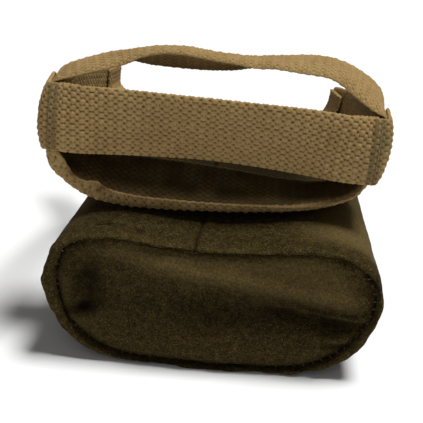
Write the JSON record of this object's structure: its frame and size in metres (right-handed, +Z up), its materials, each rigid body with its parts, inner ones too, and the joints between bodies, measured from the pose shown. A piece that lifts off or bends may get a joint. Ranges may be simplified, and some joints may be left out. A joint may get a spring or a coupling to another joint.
{
  "type": "felt-covered water bottle with webbing carrier",
  "caption": "Kidney-section steel water bottle in a stitched wool felt cover, lying on its rounded side, with its cotton webbing carrier laid on top: a ring band, a base strap and side arms.",
  "frame": {"origin": "on the floor, under the middle of the bottle, on the narrow flat of the felt where the bottle rests", "axes": "+Y runs along the bottle from its base to its neck, +Z is up through the carrier that lies on top, +X is across the bottle's width"},
  "size_m": [0.2027, 0.23, 0.1596],
  "materials": {
    "wool_felt": "milled olive-brown wool felt with a short nap",
    "felt_thread": "waxed linen thread",
    "enamelled_steel": "glossy dark blue vitreous enamel",
    "cork": "natural cork",
    "tinned_steel": "dull tinned steel",
    "khaki_webbing": "coarse plain-woven cotton webbing",
    "khaki_thread": "cotton sewing thread",
    "aged_brass": "dull aged brass"
  },
  "bodies": {
    "bottle": {"felt_side_wrap": "wool_felt", "felt_base_panel": "wool_felt", "felt_shoulder_panel": "wool_felt", "bottle_body": "enamelled_steel", "bottle_shoulder": "enamelled_steel", "bottle_base_plate": "enamelled_steel", "bottle_neck": "enamelled_steel", "base_seam_stitches": "felt_thread", "back_seam_stitches": "felt_thread", "shoulder_seam_stitches": "felt_thread"},
    "stopper": {"stopper_cork": "cork", "stopper_cap": "tinned_steel", "stopper_washer": "tinned_steel", "stopper_eye": "tinned_steel"},
    "stopper_ring": {"stopper_ring": "tinned_steel"},
    "carrier": {"ring_band": "khaki_webbing", "base_strap": "khaki_webbing", "side_arm_left": "khaki_webbing", "side_arm_right": "khaki_webbing", "chape_left": "khaki_webbing", "chape_right": "khaki_webbing", "chape_stitching_left": "khaki_thread", "chape_stitching_right": "khaki_thread", "corner_stitching_left": "khaki_thread", "corner_stitching_right": "khaki_thread", "retaining_strap_root": "khaki_webbing", "retaining_strap_tab": "khaki_webbing", "retaining_strap_stitching": "khaki_thread", "snap_stud": "aged_brass", "snap_post": "aged_brass"},
    "buckle_left": {"buckle_left": "aged_brass"},
    "buckle_right": {"buckle_right": "aged_brass"},
    "retaining_flap": {"retaining_strap_flap": "khaki_webbing", "snap_cap": "aged_brass", "snap_socket": "aged_brass"}
  },
  "joints": [
    {"name": "stopper_pull", "type": "slide", "parent": "bottle", "child": "stopper", "axis": [0, 1, 0], "range_m": [0, 0.03]},
    {"name": "stopper_ring_swing", "type": "hinge", "parent": "stopper", "child": "stopper_ring", "pos_m": [0, 0.1212, 0.037], "axis": [1, 0, 0], "range_deg": [0, 170]},
    {"name": "carrier_lift", "type": "slide", "parent": "bottle", "child": "carrier", "axis": [0, 0, 1], "range_m": [0, 0.12]},
    {"name": "buckle_left_turn", "type": "hinge", "parent": "carrier", "child": "buckle_left", "pos_m": [-0.09847, 0.11624, 0.08689], "axis": [-0.1248, 0.3775, 0.9175], "range_deg": [-70, 70]},
    {"name": "buckle_right_turn", "type": "hinge", "parent": "carrier", "child": "buckle_right", "pos_m": [0.07482, 0.12471, 0.07566], "axis": [0.2045, 0.3936, 0.8962], "range_deg": [-70, 70]},
    {"name": "retaining_strap_open", "type": "hinge", "parent": "carrier", "child": "retaining_flap", "pos_m": [-0.07907, 0.07958, 0.10273], "axis": [0.0553, -0.993, 0.1043], "range_deg": [0, 75]}
  ]
}
